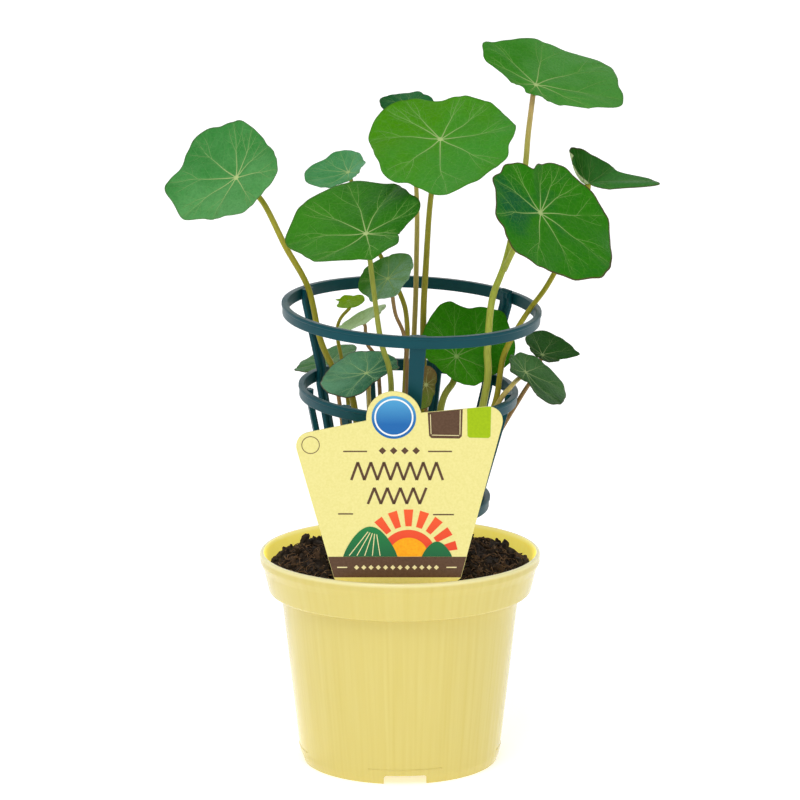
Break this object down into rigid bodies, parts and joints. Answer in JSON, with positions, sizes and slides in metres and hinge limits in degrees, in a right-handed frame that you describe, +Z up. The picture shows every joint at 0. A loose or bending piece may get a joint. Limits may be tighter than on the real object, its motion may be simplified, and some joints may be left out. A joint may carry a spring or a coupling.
{
  "type": "potted climbing plant",
  "caption": "Young climbing plant with round shield-shaped leaves on long stalks, in a plastic pot with a ringed plant cage and a plain label card.",
  "frame": {"origin": "middle of the whole plant's bounding box, on the plane that the pot stands on", "axes": "+Z up from the pot's foot to the leaves, -Y towards the side with the label"},
  "size_m": [0.2089, 0.1242, 0.3073],
  "materials": {
    "pot": "gloss",
    "soil": "matte",
    "cage": "satin",
    "label": "satin",
    "leaf_blue_green": "satin",
    "leaf_mid_green": "satin",
    "leaf_bright_green": "satin",
    "leaf_deep_green": "satin",
    "leaf_pale_green": "satin",
    "leaf_withered": "matte",
    "stem": "satin"
  },
  "bodies": {
    "root": {"cage_leg_front": "cage", "cage_leg_left": "cage", "cage_leg_right": "cage", "cage_rib_1": "cage", "cage_rib_2": "cage", "cage_rib_3": "cage", "cage_rib_4": "cage", "cage_rib_5": "cage", "cage_rib_6": "cage", "cage_ring_lower": "cage", "cage_ring_middle": "cage", "cage_ring_upper": "cage", "leaf_back_left": "leaf_deep_green", "leaf_cage_centre": "leaf_deep_green", "leaf_cage_left": "leaf_blue_green", "leaf_far_left": "leaf_blue_green", "leaf_far_right": "leaf_deep_green", "leaf_folded": "leaf_pale_green", "leaf_inner_small": "leaf_mid_green", "leaf_left_front": "leaf_mid_green", "leaf_left_small": "leaf_blue_green", "leaf_low_right": "leaf_deep_green", "leaf_right_front": "leaf_deep_green", "leaf_side_right": "leaf_deep_green", "leaf_top_behind": "leaf_blue_green", "leaf_top_centre": "leaf_bright_green", "leaf_top_right": "leaf_mid_green", "leaf_withered": "leaf_withered", "leaf_young": "leaf_pale_green", "plant_label": "label", "pot": "pot", "soil": "soil", "stem_back_left": "stem", "stem_cage_centre": "stem", "stem_cage_left": "stem", "stem_far_left": "stem", "stem_far_right": "stem", "stem_folded": "stem", "stem_inner_small": "stem", "stem_left_front": "stem", "stem_left_small": "stem", "stem_low_right": "stem", "stem_right_pair": "stem", "stem_side_right": "stem", "stem_top_behind": "stem", "stem_top_centre": "stem", "stem_withered": "stem", "stem_young": "stem"}
  },
  "joints": []
}
